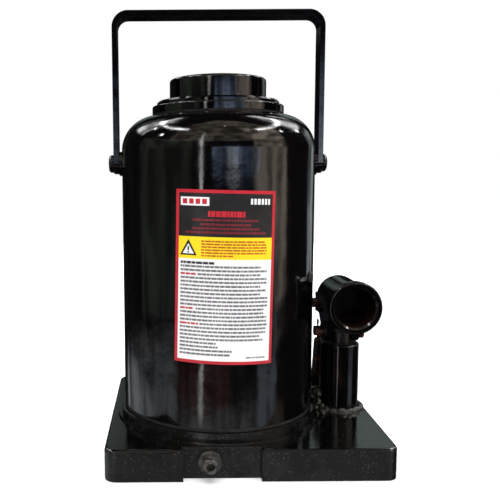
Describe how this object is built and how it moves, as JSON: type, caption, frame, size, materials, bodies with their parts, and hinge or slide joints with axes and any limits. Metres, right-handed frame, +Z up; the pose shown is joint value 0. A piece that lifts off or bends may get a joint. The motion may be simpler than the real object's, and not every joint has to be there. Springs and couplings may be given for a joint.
{
  "type": "hydraulic bottle jack",
  "caption": "Upright hydraulic bottle jack: a screw-down tank with a central ram on a rectangular base, a hand pump with a linked handle socket, and a swinging bail handle.",
  "frame": {"origin": "underside of the base, on the axis of the ram", "axes": "+Z up along the ram; +X from the ram towards the hand pump; -Y towards the side where the pump handle goes in"},
  "size_m": [0.2166, 0.1885, 0.354],
  "materials": {
    "base_paint": "black paint, satin, with dust and spatter under it",
    "body_paint": "gloss black paint with orange peel",
    "bare_steel": "bright machined steel",
    "ball_steel": "polished bearing steel",
    "brass": "machined bronze and copper",
    "rubber": "black rubber, matt",
    "label_sheet": "printed vinyl sheet with plain bars and bands"
  },
  "bodies": {
    "base": {"base": "base_paint", "reservoir_shell": "body_paint", "tank_gasket": "rubber", "tank_top_gasket": "rubber", "oil_filler_plug": "rubber", "pressure_cylinder": "bare_steel", "cylinder_gasket": "brass", "top_nut": "body_paint", "ram_guide_ring": "brass", "ram_wiper": "rubber", "pump_cylinder": "body_paint", "pump_seal": "rubber", "pump_wiper": "rubber", "pump_weld_bead": "base_paint", "link_lug": "base_paint", "lug_weld_beads": "base_paint", "link_pin": "bare_steel", "link_pin_washers": "bare_steel", "link_split_pin": "bare_steel", "bail_bosses": "body_paint", "bail_studs": "body_paint", "delivery_valve_spring": "bare_steel", "delivery_valve_plug": "bare_steel", "suction_strainer": "brass", "passage_plugs": "body_paint", "release_valve_ball": "ball_steel", "safety_valve_spring": "bare_steel", "safety_valve_plug": "body_paint", "label": "label_sheet"},
    "ram": {"ram": "bare_steel", "ram_seal": "rubber", "ram_seal_retainer": "bare_steel", "ram_seal_bolt": "bare_steel", "saddle": "body_paint"},
    "link": {"link_plate_left": "body_paint", "link_plate_right": "body_paint", "link_spacer": "bare_steel"},
    "socket": {"handle_socket": "body_paint", "plunger_pin": "bare_steel", "plunger_pin_washers": "bare_steel", "plunger_split_pin": "bare_steel", "socket_pin": "bare_steel", "socket_pin_washers": "bare_steel", "socket_split_pin": "bare_steel"},
    "plunger": {"pump_plunger": "bare_steel"},
    "bail": {"bail_handle": "body_paint"},
    "release_valve": {"release_valve": "body_paint", "release_valve_seal": "rubber"},
    "suction_ball": {"suction_valve_ball": "ball_steel"},
    "delivery_ball": {"delivery_valve_ball": "ball_steel"},
    "safety_ball": {"safety_valve_ball": "ball_steel"}
  },
  "joints": [
    {"name": "ram_lift", "type": "slide", "parent": "base", "child": "ram", "axis": [0, 0, 1], "range_m": [0, 0.18]},
    {"name": "link_rock", "type": "hinge", "parent": "base", "child": "link", "pos_m": [0.1045, 0.05, 0.034], "axis": [-1, 0, 0], "range_deg": [0, 8]},
    {"name": "socket_swing", "type": "hinge", "parent": "link", "child": "socket", "pos_m": [0.1045, 0.0195, 0.111], "axis": [-1, 0, 0], "range_deg": [0, 40]},
    {"name": "plunger_stroke", "type": "slide", "parent": "base", "child": "plunger", "axis": [0, 0, 1], "range_m": [0, 0.024]},
    {"name": "bail_swing", "type": "hinge", "parent": "base", "child": "bail", "pos_m": [0, 0, 0.2324], "axis": [-1, 0, 0], "range_deg": [0, 130.1]},
    {"name": "release_valve_turn", "type": "hinge", "parent": "base", "child": "release_valve", "pos_m": [-0.0116, -0.09, 0.0128], "axis": [0, -1, 0], "range_deg": [0, 360]},
    {"name": "suction_ball_lift", "type": "slide", "parent": "base", "child": "suction_ball", "axis": [0, 0, 1], "range_m": [0, 0.0015]},
    {"name": "delivery_ball_lift", "type": "slide", "parent": "base", "child": "delivery_ball", "axis": [0, 0, 1], "range_m": [0, 0.0015], "deforming": ["delivery_valve_spring"]},
    {"name": "safety_ball_lift", "type": "slide", "parent": "base", "child": "safety_ball", "axis": [0, -1, 0], "range_m": [0, 0.001], "stiffness_N_per_m": 400, "deforming": ["safety_valve_spring"]}
  ],
  "couplings": [
    {"joint": "link_rock", "follows": "socket_swing", "ratio": 0.1908},
    {"joint": "plunger_stroke", "follows": "socket_swing", "m_per_rad": 0.034221},
    {"joint": "bail_swing", "follows": "ram_lift", "rad_per_m": 12.6}
  ]
}
